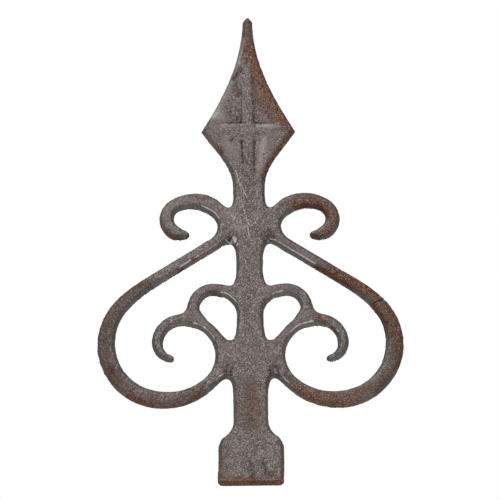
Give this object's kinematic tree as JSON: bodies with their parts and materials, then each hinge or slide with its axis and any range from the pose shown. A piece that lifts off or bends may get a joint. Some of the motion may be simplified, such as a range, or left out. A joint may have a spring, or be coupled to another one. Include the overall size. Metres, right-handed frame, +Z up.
{
  "type": "fence finial",
  "caption": "Flat cast-iron fence finial: a spear head with a raised cross on a stem between two ribbon scrolls, on a shouldered foot.",
  "frame": {"origin": "centre of the foot's flat underside", "axes": "+Z up the stem to the point, -Y the front face, +X to the right as seen from the front"},
  "size_m": [0.1792, 0.016, 0.2794],
  "materials": {
    "cast_iron": "bare grey-brown sand casting with patches of rust"
  },
  "bodies": {
    "root": {"finial_casting": "cast_iron"}
  },
  "joints": []
}
